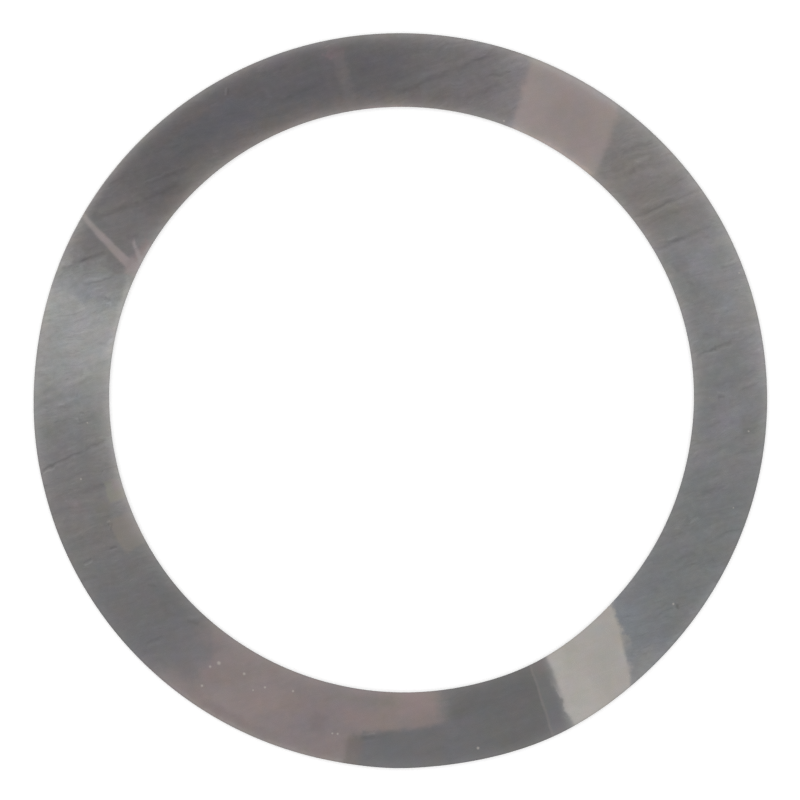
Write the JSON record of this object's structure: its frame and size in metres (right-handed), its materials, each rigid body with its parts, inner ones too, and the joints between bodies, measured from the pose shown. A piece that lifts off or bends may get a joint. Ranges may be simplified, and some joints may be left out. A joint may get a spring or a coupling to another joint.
{
  "type": "shim ring",
  "caption": "Thin flat steel shim ring that slides over a shaft and takes up end play beside a bearing or gear.",
  "frame": {"origin": "on the axis of the bore, at the flat underside that the ring rests on", "axes": "+Z along the axis of the bore, from the underside with its tumbled burr edge to the upper face with its rolled-over edges; +X and +Y in the plane of the ring, with +Y towards the top of the picture"},
  "size_m": [0.0628, 0.0628, 0.0005],
  "materials": {
    "rolled_steel": "cold rolled, half mirror bright, with rolling lines, stains and light handling marks"
  },
  "bodies": {
    "root": {"shim_ring": "rolled_steel"}
  },
  "joints": []
}
